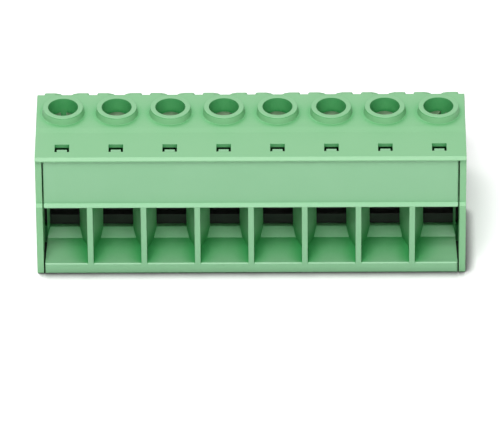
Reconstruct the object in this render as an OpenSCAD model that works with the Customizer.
// Pluggable screw terminal block. A moulded housing carries one screw tower and one mating
// finger for each pole. A front insert with a wire funnel for each pole snaps into its bay.
// Each pole holds a screw, a clamp cage that the screw raises, and a contact: the cage lifts
// the wire against the underside of the contact's bar, and the contact's two springs take the
// pin of the mating half in the finger behind.
// X runs along the row of poles, the wires enter at -Y, the mating half joins at +Y.

/* [Poles] */
// Number of poles in the row
poles = 8; // [2:1:8]
// Distance from one pole to the next
pitch = 7.62; // [7.3:0.01:9]

/* [Wire funnel] */
// Wall between two funnel mouths at the front
divider_t = 0.8; // [0.5:0.05:1.2]
// Height of a funnel mouth
mouth_h = 9.7; // [8:0.1:10]
// Bar under the funnel mouths
sill_h = 1.7; // [1:0.05:2]
// Length of the straight stretch behind a mouth
mouth_d = 3.66; // [2:0.02:4.5]
// Length of the whole funnel, front to back
funnel_d = 7.4; // [6.8:0.1:9]
// Length of the ramp at the end of the funnel floor
ramp_d = 1.15; // [0.8:0.05:2]
// Length of the level stretch of the funnel ceiling
ceiling_d = 1.2; // [0.8:0.1:2]

/* [Front insert] */
// Thickness of the front panel
panel_t = 1.2; // [0.9:0.05:1.4]
// How far the panel stands back from the lip above it
panel_setback = 0.5; // [0.3:0.05:0.7]
// Height of the bevel between the panel and the funnel mouths
bevel_h = 0.4; // [0.3:0.05:0.9]
// Front edge of the funnel ceiling, under the bevel
lintel_h = 0.1; // [0.05:0.01:0.3]
// Gap between the insert and the housing round it
insert_gap = 0.2; // [0.1:0.02:0.3]
// How far each end of the insert draws in towards its back
end_draft = 0.25; // [0:0.05:0.3]
// Bevel along the upright edges of the insert's face
face_bevel = 0.15; // [0.05:0.05:0.3]
// Thickness of a locating tongue at the foot of the insert
foot_t = 0.7; // [0.5:0.05:0.9]
// How far a locating tongue reaches under the chamber floor
foot_d = 1; // [0.6:0.05:1.3]

/* [Snap hooks] */
// Width of a snap window in the top of the housing
window_w = 2.05; // [1.8:0.05:3]
// Length of a snap window, front to back
window_d = 1.85; // [1.5:0.05:2.2]
// Gap at each side of a barb in its window
barb_gap = 0.3; // [0.15:0.05:0.5]
// How far a barb's crest lies under the top of the housing
barb_drop = 0.15; // [0.1:0.05:0.4]
// Length of a barb's crest
crest_d = 0.65; // [0.3:0.05:0.7]
// Length of a whole barb, with the slope behind its crest
barb_d = 1.4; // [1.2:0.05:1.6]
// Thickness of a hook's spring tongue
tongue_t = 0.8; // [0.5:0.05:1]
// Thickness of the housing's top where the barbs catch in it
catch_t = 0.6; // [0.5:0.05:0.8]

/* [Housing] */
// Thickness of the cheek at each end of the row
cheek_t = 0.92; // [0.7:0.02:1.1]
// Thickness of the plate that carries the towers
top_t = 1.2; // [1:0.05:1.6]
// Thickness of the lip over the front panel
lip_t = 0.54; // [0.5:0.02:0.7]
// Bevel along the front edge of the lip
lip_bevel = 0.4; // [0.2:0.05:0.4]
// Thickness of the floor under the clamp cages
floor_t = 2.85; // [2.2:0.05:3.2]
// Depth of the hollows on the underside of the floor
core_d = 1.1; // [0.5:0.1:1.2]
// Wall between a cage and the mating finger behind it
back_t = 0.9; // [0.7:0.05:1.5]
// Rise of the top, from the snap windows to the towers
step_h = 0.1; // [0.05:0.01:0.2]
// Distance from the front of the lip to that rise
step_d = 6.4; // [5:0.1:6.6]
// Length of that rise, which is a gentle slope
step_run = 1.2; // [0.2:0.1:1.2]
// Small bevel along outer edges
edge = 0.1; // [0.05:0.05:0.3]

/* [Screw tower] */
// Height of a tower over the top plate
tower_h = 1.05; // [0.6:0.05:2]
// Wall of a tower
tower_t = 0.72; // [0.5:0.02:0.9]
// Rounding of a tower's outer rim
rim_r = 0.1; // [0.06:0.02:0.3]
// Fillet at the foot of a tower
foot_r = 0.3; // [0.1:0.05:0.4]
// Plastic ring that the screw head can't pass
shoulder_t = 1.75; // [0.6:0.05:2.2]

/* [Screw] */
// Diameter of the screw head
head_d = 3.7; // [3.5:0.05:4.2]
// Height of the screw head
head_h = 2; // [1.4:0.05:2.6]
// How far the head lies under the rim of its tower
head_recess = 2.05; // [1:0.05:4]
// Gap between the head and the bore round it
head_gap = 0.285; // [0.1:0.005:0.4]
// Width of the screwdriver slot
slot_w = 0.8; // [0.6:0.05:1]
// Depth of the screwdriver slot
slot_d = 1; // [0.6:0.05:1.3]
// Diameter of the screw thread
thread_d = 2.9; // [2.5:0.05:3]
// Gap between the thread and the cage that runs on it
thread_gap = 0.05; // [0.03:0.01:0.08]
// Gap between the thread and the plastic ring
shoulder_gap = 0.25; // [0.15:0.05:0.35]
// Gap under the head and under the tip of the screw
seat_gap = 0.1; // [0.05:0.05:0.2]

/* [Clamp cage] */
// Width of the wire space inside the cage
clamp_w = 4.27; // [4.1:0.01:4.5]
// Height of the wire space with the cage at the bottom of its travel
clamp_h = 3.4; // [2.4:0.1:4]
// Length of the cage, front to back
cage_d = 6.9; // [6:0.1:8]
// Side walls of the cage
cage_side_t = 0.8; // [0.6:0.05:0.9]
// Plate of the cage that lifts the wire
cage_base_t = 1.6; // [1.2:0.1:2.2]
// Threaded top of the cage
cage_nut_t = 2.4; // [1.8:0.1:3]
// Outer corner radius of the cage
cage_r = 0.7; // [0.4:0.05:0.75]
// Gap between the cage and the chamber walls beside it
cage_gap = 0.1; // [0.08:0.01:0.15]
// Gap in front of the cage
cage_front_gap = 0.35; // [0.2:0.05:0.5]
// Gap behind, under and over the cage
cage_end_gap = 0.3; // [0.2:0.05:0.5]
// Space that stays between the bar and the raised plate of the cage
closed_h = 0.4; // [0.3:0.05:0.6]
// Depth of the wire grooves in the cage and the bar
groove_d = 0.2; // [0.1:0.05:0.3]

/* [Contact] */
// Width of the contact
contact_w = 3.9; // [3.4:0.05:4]
// Thickness of the current bar
bar_t = 1; // [0.8:0.05:1.4]
// Thickness of each spring
spring_t = 0.7; // [0.5:0.05:0.8]
// Height of the springs under the bar
spring_h = 3.1; // [2:0.1:3.4]
// Length of the contact inside the mating finger
contact_d = 7.8; // [7:0.1:8]
// Gap between the two springs where they hold the pin
pin_gap = 0.9; // [0.6:0.05:1.2]
// Gap between the contact and the wall that it passes through
contact_gap = 0.1; // [0.08:0.01:0.15]

/* [Mating finger] */
// Length of a mating finger
finger_d = 12.2; // [12.2:0.1:14]
// Slot between two mating fingers
finger_slot = 1.1; // [1:0.05:1.6]
// Side, top and bottom walls of a finger
finger_t = 0.9; // [0.7:0.02:0.92]
// Space under the springs inside a finger
finger_below = 2.5; // [1.5:0.1:2.7]
// Space over the bar inside a finger
finger_above = 1.4; // [0.5:0.1:1.5]
// Width of the key groove along the top of a finger
key_w = 3.4; // [2:0.05:3.6]
// Width of the floor of that groove, whose sides slope
key_floor_w = 1.2; // [0.6:0.05:1.8]
// Depth of the key groove
key_d = 0.7; // [0.4:0.05:1]
// Rounding of a finger's long edges
finger_r = 0.45; // [0.3:0.05:0.7]
// Bevel round the end of a finger
finger_bevel = 0.45; // [0.2:0.05:0.5]

/* [Hidden] */
$fn = 48;
// Overlap of solids that are joined, and how far a cut runs past a face
eps = 0.2;
overcut = 1;
// Small offset that keeps two faces out of one plane
stagger = 0.1;
// Inner corner radius of the cages and the mating fingers
inner_r = 0.25;

// Turn of each screwdriver slot, as the screws happen to stand
SLOT_TURNS = [90, 20, 160, 35, 0, 15, 150, 64];

function pole_x(i) = (i - (poles + 1) / 2) * pitch;

// Heights, built up from the underside
cage_z0 = floor_t + cage_end_gap;
clamp_z0 = cage_z0 + cage_base_t;
bar_z0 = clamp_z0 + clamp_h;
bar_z1 = bar_z0 + bar_t;
nut_z0 = bar_z1 + cage_end_gap;
cage_z1 = nut_z0 + cage_nut_t;
travel = clamp_h - closed_h;
chamber_z1 = cage_z1 + travel + cage_end_gap;
seat_z = chamber_z1 + shoulder_t;
head_z0 = seat_z + seat_gap;
head_z1 = head_z0 + head_h;
tower_z1 = head_z1 + head_recess;
body_h = tower_z1 - tower_h;
plate_z0 = body_h - top_t;
front_z1 = body_h - step_h;
lip_z0 = front_z1 - lip_t;
catch_z0 = front_z1 - catch_t;
tip_z = bar_z1 + seat_gap;
spring_z0 = bar_z0 - spring_h;
finger_in_z0 = spring_z0 - finger_below;
finger_in_z1 = bar_z1 + finger_above;
finger_z0 = finger_in_z0 - finger_t;
finger_z1 = finger_in_z1 + finger_t + key_d;
mouth_z1 = sill_h + mouth_h;
bevel_z0 = mouth_z1 + lintel_h;
bevel_z1 = bevel_z0 + bevel_h;
neck_z0 = floor_t + stagger;
roof_z = bevel_z1;

// Depths, counted from the front of the lip
panel_d1 = panel_setback + panel_t;
cage_d0 = funnel_d + cage_front_gap;
cage_d1 = cage_d0 + cage_d;
screw_d = cage_d0 + cage_d / 2;
chamber_d1 = cage_d1 + cage_end_gap;
block_d = chamber_d1 + back_t;
total_d = block_d + finger_d;
contact_d1 = block_d + contact_d;
spring_bend_d = block_d + 0.3 * contact_d;
spring_hold_d = contact_d1 - 0.14 * contact_d;
window_d0 = panel_d1 + stagger / 2;

// Widths
total_w = poles * pitch;
bay_w = total_w - 2 * cheek_t;
insert_w = bay_w - 2 * insert_gap;
cage_w = clamp_w + 2 * cage_side_t;
chamber_w = cage_w + 2 * cage_gap;
mouth_w = pitch - divider_t;
finger_w = pitch - finger_slot;
finger_in_w = finger_w - 2 * finger_t;
bore_r = head_d / 2 + head_gap;
tower_r = bore_r + tower_t;

moulded_green = [0.42, 0.76, 0.5];
plated_steel = [0.72, 0.73, 0.72];
zinc_steel = [0.8, 0.8, 0.76];
tinned_copper = [0.82, 0.78, 0.7];

// The origin lies under the middle of the whole part, on the face that it rests on
module set_in_frame() {
    translate([0, -total_d / 2, 0]) children();
}

module at_pole(i) {
    translate([pole_x(i), 0, 0]) children();
}

// A profile of depth and height, extruded along the row of poles
module along_row(width) {
    rotate([90, 0, 90]) linear_extrude(width, center = true) children();
}

// A profile of width and height, extruded from front to back
module front_to_back(d0, d1) {
    translate([0, d1, 0]) rotate([90, 0, 0]) linear_extrude(d1 - d0) children();
}

// A profile of width and depth, extruded upwards
module upwards(z0, z1) {
    translate([0, 0, z0]) linear_extrude(z1 - z0) children();
}

// A box centred across the pole
module pole_box(width, d0, d1, z0, z1) {
    translate([-width / 2, d0, z0]) cube([width, d1 - d0, z1 - z0]);
}

module bevelled_rect(x0, y0, x1, y1, bevel) {
    polygon([
        [x0 + bevel, y0], [x1 - bevel, y0], [x1, y0 + bevel], [x1, y1 - bevel],
        [x1 - bevel, y1], [x0 + bevel, y1], [x0, y1 - bevel], [x0, y0 + bevel]
    ]);
}

module rounded_rect(x0, y0, x1, y1, r) {
    translate([x0 + r, y0]) square([x1 - x0 - 2 * r, y1 - y0]);
    translate([x0, y0 + r]) square([x1 - x0, y1 - y0 - 2 * r]);
    for (x = [x0 + r, x1 - r])
        for (y = [y0 + r, y1 - r])
            translate([x, y]) circle(r);
}

// ---------------------------------------------------------------- housing

// Outline of the screw block seen from the side: lip, panel recess, bevel and plain back
module block_profile() {
    polygon([
        [edge, 0], [0, edge], [0, bevel_z0], [panel_setback, bevel_z1],
        [panel_setback, lip_z0], [0, lip_z0], [0, front_z1 - lip_bevel],
        [lip_bevel, front_z1], [step_d, front_z1], [step_d + step_run, body_h],
        [block_d - edge, body_h], [block_d, body_h - edge], [block_d, edge], [block_d - edge, 0]
    ]);
}

module block() {
    intersection() {
        along_row(total_w) block_profile();
        front_to_back(-overcut, block_d + overcut)
            bevelled_rect(-total_w / 2, 0, total_w / 2, body_h, edge);
        upwards(-overcut, body_h + overcut)
            bevelled_rect(-total_w / 2, 0, total_w / 2, block_d, edge);
    }
}

module tower() {
    translate([0, screw_d, plate_z0])
        rotate_extrude() {
            square([tower_r, top_t + tower_h - rim_r]);
            square([tower_r - rim_r, top_t + tower_h]);
            translate([tower_r - rim_r, top_t + tower_h - rim_r]) circle(rim_r);
            difference() {
                square([tower_r + foot_r, top_t + foot_r]);
                translate([tower_r + foot_r, top_t + foot_r]) circle(foot_r);
            }
        }
}

// Outline of a mating finger seen from behind, with the key groove along its top
module finger_outline() {
    difference() {
        rounded_rect(-finger_w / 2, finger_z0, finger_w / 2, finger_z1, finger_r);
        polygon([
            [-key_floor_w / 2, finger_z1 - key_d], [key_floor_w / 2, finger_z1 - key_d],
            [key_w / 2, finger_z1], [key_w / 2, finger_z1 + overcut],
            [-key_w / 2, finger_z1 + overcut], [-key_w / 2, finger_z1]
        ]);
    }
}

module finger() {
    root_d = block_d - back_t / 2;
    intersection() {
        front_to_back(root_d, total_d) finger_outline();
        along_row(finger_w)
            bevelled_rect(root_d - overcut, finger_z0, total_d, finger_z1, finger_bevel);
        upwards(finger_z0, finger_z1)
            bevelled_rect(-finger_w / 2, root_d - overcut, finger_w / 2, total_d, finger_bevel);
    }
}

// The open front of the housing: the funnels' room, and the panel's room behind the lip
module insert_bay() {
    pole_box(bay_w, -overcut, funnel_d + insert_gap, -overcut, roof_z + insert_gap);
    pole_box(bay_w, -overcut, panel_d1 + insert_gap, roof_z, lip_z0);
}

module tower_bore() {
    translate([0, screw_d, seat_z]) cylinder(r = bore_r, h = tower_z1 - seat_z + overcut);
    translate([0, screw_d, chamber_z1 - overcut])
        cylinder(r = thread_d / 2 + shoulder_gap, h = shoulder_t + 2 * overcut);
}

// The room of the cage and, over the funnel, the room of the snap hook
module chamber() {
    pole_box(chamber_w, funnel_d, chamber_d1, floor_t, chamber_z1);
    pole_box(chamber_w, panel_d1, funnel_d + insert_gap, roof_z, catch_z0);
    pole_box(contact_w + 2 * contact_gap, chamber_d1 - eps, block_d + eps,
        spring_z0 - contact_gap, bar_z1 + contact_gap);
}

module snap_window() {
    pole_box(window_w, window_d0, window_d0 + window_d, plate_z0 - overcut, body_h + overcut);
}

module foot_slot() {
    pole_box(chamber_w - 2 * foot_t, funnel_d, funnel_d + insert_gap + foot_d + contact_gap,
        sill_h - foot_t - contact_gap, sill_h + contact_gap);
}

// The floor is hollowed from below, as thick mouldings are, to an even wall
module floor_core() {
    core_d0 = funnel_d + insert_gap + foot_d + finger_t;
    pole_box(chamber_w - 2 * finger_t, core_d0, chamber_d1, -overcut, core_d);
}

module finger_hollow() {
    front_to_back(block_d, total_d + overcut)
        rounded_rect(-finger_in_w / 2, finger_in_z0, finger_in_w / 2, finger_in_z1, inner_r);
}

module housing() {
    color(moulded_green) set_in_frame() difference() {
        union() {
            block();
            for (i = [1:poles]) at_pole(i) {
                tower();
                finger();
            }
        }
        insert_bay();
        for (i = [1:poles]) at_pole(i) {
            tower_bore();
            chamber();
            snap_window();
            foot_slot();
            floor_core();
            finger_hollow();
        }
    }
}

// ---------------------------------------------------------------- front insert

// The panel behind the lip
module panel() {
    top_z = lip_z0 - insert_gap / 2;
    intersection() {
        along_row(insert_w) polygon([
            [panel_setback, roof_z - eps], [panel_setback, top_z - edge],
            [panel_setback + edge, top_z], [panel_d1, top_z], [panel_d1, roof_z - eps]
        ]);
        upwards(0, body_h)
            bevelled_rect(-insert_w / 2, panel_setback, insert_w / 2, funnel_d, face_bevel);
    }
}

// The body that the funnels run through, with the sill under them and the bevel over them
module funnel_body() {
    intersection() {
        along_row(insert_w) polygon([
            [edge, 0], [0, edge], [0, bevel_z0], [panel_setback, bevel_z1],
            [funnel_d, roof_z], [funnel_d, edge], [funnel_d - edge, 0]
        ]);
        upwards(0, body_h) polygon([
            [face_bevel - insert_w / 2, 0], [insert_w / 2 - face_bevel, 0],
            [insert_w / 2, face_bevel], [insert_w / 2 - end_draft, funnel_d],
            [end_draft - insert_w / 2, funnel_d], [-insert_w / 2, face_bevel]
        ]);
    }
}

// A funnel narrows in plan and in side view at once, and its floor starts with a small bevel
module funnel() {
    lead = 0.15;
    intersection() {
        upwards(0, body_h) polygon([
            [-mouth_w / 2, -overcut], [mouth_w / 2, -overcut], [mouth_w / 2, mouth_d],
            [clamp_w / 2, funnel_d], [clamp_w / 2, funnel_d + overcut],
            [-clamp_w / 2, funnel_d + overcut], [-clamp_w / 2, funnel_d], [-mouth_w / 2, mouth_d]
        ]);
        along_row(mouth_w) polygon([
            [-overcut, sill_h - lead - overcut], [lead, sill_h], [funnel_d - ramp_d, sill_h],
            [funnel_d, neck_z0], [funnel_d + overcut, neck_z0], [funnel_d + overcut, bar_z0],
            [funnel_d, bar_z0], [ceiling_d, mouth_z1], [-overcut, mouth_z1]
        ]);
    }
}

// A spring tongue under the top plate, with the barb that catches in the snap window
module snap_hook() {
    barb_w = window_w - 2 * barb_gap;
    barb_d0 = window_d0 + contact_gap;
    barb_d1 = barb_d0 + barb_d;
    tongue_z1 = plate_z0 - contact_gap;
    pole_box(window_w, panel_d1 - eps, barb_d1 + eps, tongue_z1 - tongue_t, tongue_z1);
    along_row(barb_w) polygon([
        [barb_d0, tongue_z1 - eps], [barb_d0, front_z1 - barb_drop],
        [barb_d0 + crest_d, front_z1 - barb_drop], [barb_d1, tongue_z1 - eps]
    ]);
}

// A tongue that locates the foot of the insert in the housing's floor
module foot_tongue() {
    pole_box(chamber_w - 2 * foot_t - 2 * contact_gap, funnel_d - eps,
        funnel_d + insert_gap + foot_d, sill_h - foot_t, sill_h);
}

module front_insert() {
    color(moulded_green) set_in_frame() difference() {
        union() {
            panel();
            funnel_body();
            for (i = [1:poles]) at_pole(i) {
                snap_hook();
                foot_tongue();
            }
        }
        for (i = [1:poles]) at_pole(i) funnel();
    }
}

// ---------------------------------------------------------------- clamp of one pole

module screw(i) {
    tip_bevel = 0.4;
    rim_bevel = 0.15;
    color(zinc_steel) set_in_frame() at_pole(i) translate([0, screw_d, 0]) difference() {
        rotate_extrude() polygon([
            [0, tip_z], [thread_d / 2 - tip_bevel, tip_z], [thread_d / 2, tip_z + tip_bevel],
            [thread_d / 2, head_z0], [head_d / 2, head_z0], [head_d / 2, head_z1 - rim_bevel],
            [head_d / 2 - rim_bevel, head_z1], [0, head_z1]
        ]);
        rotate([0, 0, SLOT_TURNS[(i - 1) % len(SLOT_TURNS)]])
            translate([-head_d, -slot_w / 2, head_z1 - slot_d])
                cube([2 * head_d, slot_w, slot_d + overcut]);
    }
}

// V grooves across the wire, cut into a face that looks up (facing = 1) or down (-1)
module wire_grooves(z, facing) {
    count = 4;
    step = cage_d / (count + 1);
    for (n = [1:count])
        translate([0, cage_d0 + n * step, z])
            along_row(clamp_w - 4 * groove_d) polygon([
                [-groove_d, facing * groove_d / 4], [groove_d, facing * groove_d / 4],
                [0, -facing * groove_d]
            ]);
}

// The cage is a closed frame of bent strip: wire plate below, threaded nut plate above
module clamp_cage(i) {
    color(plated_steel) set_in_frame() at_pole(i) difference() {
        front_to_back(cage_d0, cage_d1)
            rounded_rect(-cage_w / 2, cage_z0, cage_w / 2, cage_z1, cage_r);
        front_to_back(cage_d0 - overcut, cage_d1 + overcut)
            rounded_rect(-clamp_w / 2, clamp_z0, clamp_w / 2, nut_z0, inner_r);
        translate([0, screw_d, nut_z0 - overcut])
            cylinder(r = thread_d / 2 + thread_gap, h = cage_nut_t + 2 * overcut);
        wire_grooves(clamp_z0, 1);
    }
}

// One spring of the contact in plan: straight root, bow towards the pin, flared tip
module spring_plan() {
    root = contact_w / 2;
    hold = pin_gap / 2;
    root_d = block_d + contact_gap;
    flare = 0.35;
    polygon([
        [root, root_d], [root, spring_bend_d], [hold + spring_t, spring_hold_d],
        [hold + spring_t + flare, contact_d1], [hold + flare, contact_d1],
        [hold, spring_hold_d], [root - spring_t, spring_bend_d], [root - spring_t, root_d]
    ]);
}

module contact(i) {
    color(tinned_copper) set_in_frame() at_pole(i) difference() {
        union() {
            pole_box(contact_w, cage_d0 + contact_gap, spring_bend_d, bar_z0, bar_z1);
            for (side = [0, 1])
                mirror([side, 0, 0]) upwards(spring_z0, bar_z0 + bar_t / 2) spring_plan();
        }
        wire_grooves(bar_z0, -1);
    }
}

POLE_PARTS = ["screw", "clamp_cage", "contact"];

housing();
front_insert();
for (i = [1:poles]) {
    screw(i);
    clamp_cage(i);
    contact(i);
}
